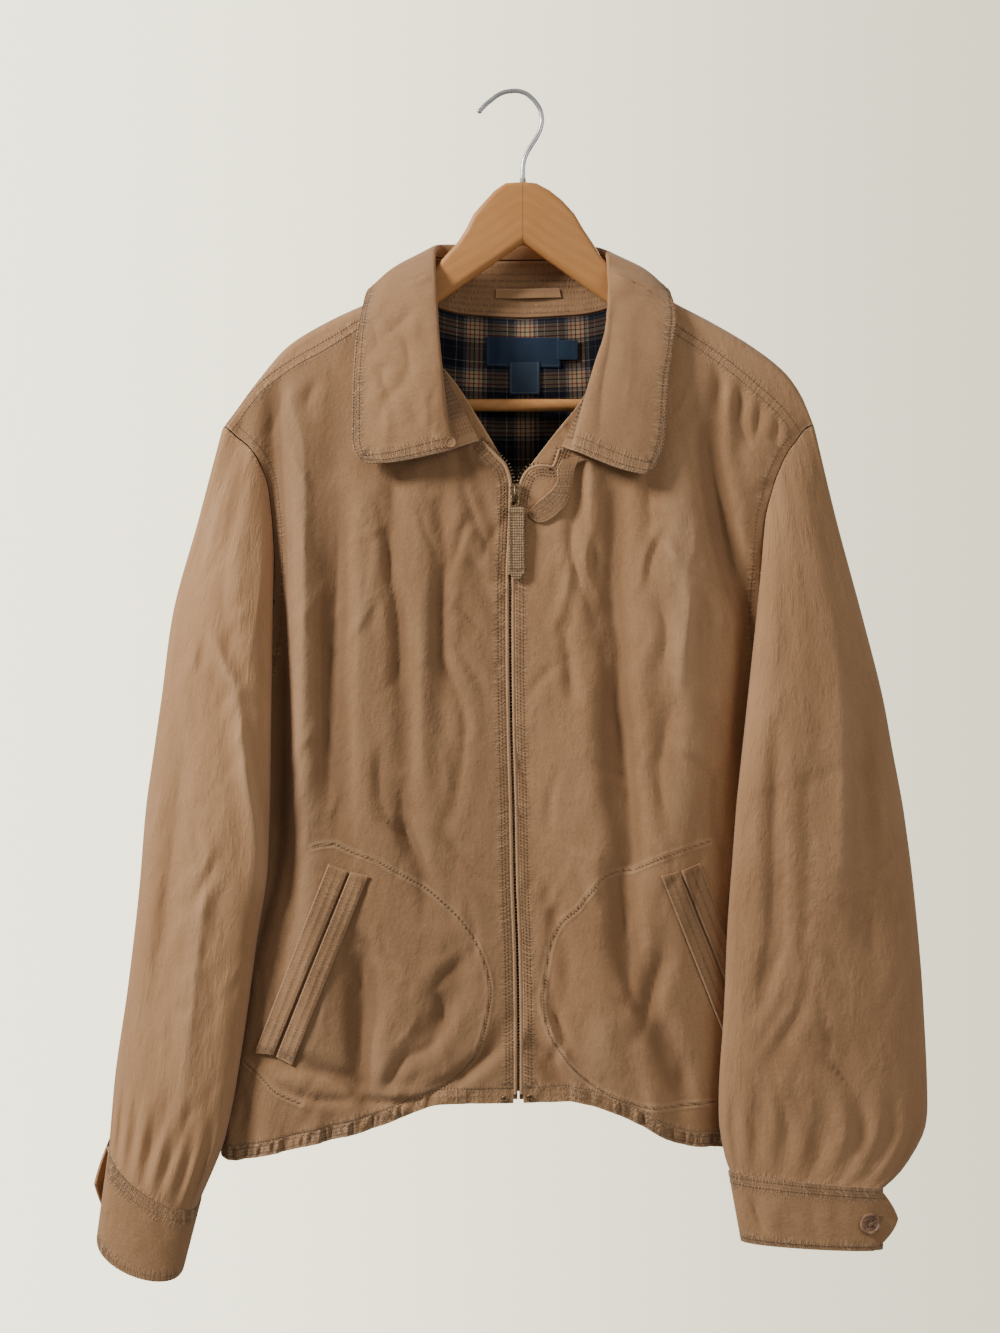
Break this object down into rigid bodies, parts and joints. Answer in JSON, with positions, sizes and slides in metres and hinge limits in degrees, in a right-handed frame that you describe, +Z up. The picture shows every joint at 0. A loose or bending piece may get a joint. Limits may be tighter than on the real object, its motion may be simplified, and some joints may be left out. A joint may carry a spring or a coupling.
{
  "type": "harrington jacket hanging on a wooden hanger",
  "caption": "Short cotton zip jacket with a stand-and-fall collar, slanted welt pockets, elastic hem and buttoned cuffs, hung on a wooden hanger by a wire hook.",
  "frame": {"origin": "the hook's inner crown, where a rail carries the hanger", "axes": "+Z is up, the front faces -Y, and the wearer's right is at -X"},
  "size_m": [0.6689, 0.0945, 0.9545],
  "materials": {
    "twill": "washed cotton twill, matt",
    "lining": "woven plaid cotton, matt",
    "label": "plain woven label, without words",
    "webbing": "woven tape, matt",
    "zip_metal": "aged brass",
    "button": "four-hole horn look",
    "wood": "clear varnish",
    "steel": "drawn wire"
  },
  "bodies": {
    "jacket": {"back": "twill", "collar_button": "twill", "collar_leaf": "twill", "collar_stand": "twill", "cuff_left": "twill", "cuff_right": "twill", "facing_left": "twill", "facing_right": "twill", "front_left": "twill", "front_right": "twill", "hem_casing_back": "twill", "hem_casing_left": "twill", "hem_casing_right": "twill", "locker_loop": "twill", "pocket_inner_welt_left": "twill", "pocket_inner_welt_right": "twill", "pocket_outer_welt_left": "twill", "pocket_outer_welt_right": "twill", "sleeve_left": "twill", "sleeve_right": "twill", "throat_strap": "twill", "lining": "lining", "label_main": "label", "label_size": "label", "label_care": "label", "zip_tape_left": "webbing", "zip_tape_right": "webbing", "zip_slider": "zip_metal", "zip_bail": "zip_metal", "eyelet_left": "zip_metal", "eyelet_right": "zip_metal", "cuff_button_left": "button", "cuff_button_right": "button", "hanger_body": "wood", "hanger_bar": "wood", "hanger_hook": "steel"},
    "zip_pull": {"zip_pull_link": "zip_metal", "zip_pull_tab": "webbing"}
  },
  "joints": [
    {"name": "zip_pull_swing", "type": "hinge", "parent": "jacket", "child": "zip_pull", "pos_m": [-0.0008, -0.04468, -0.3315], "axis": [-1, 0, 0], "range_deg": [0, 150]}
  ]
}
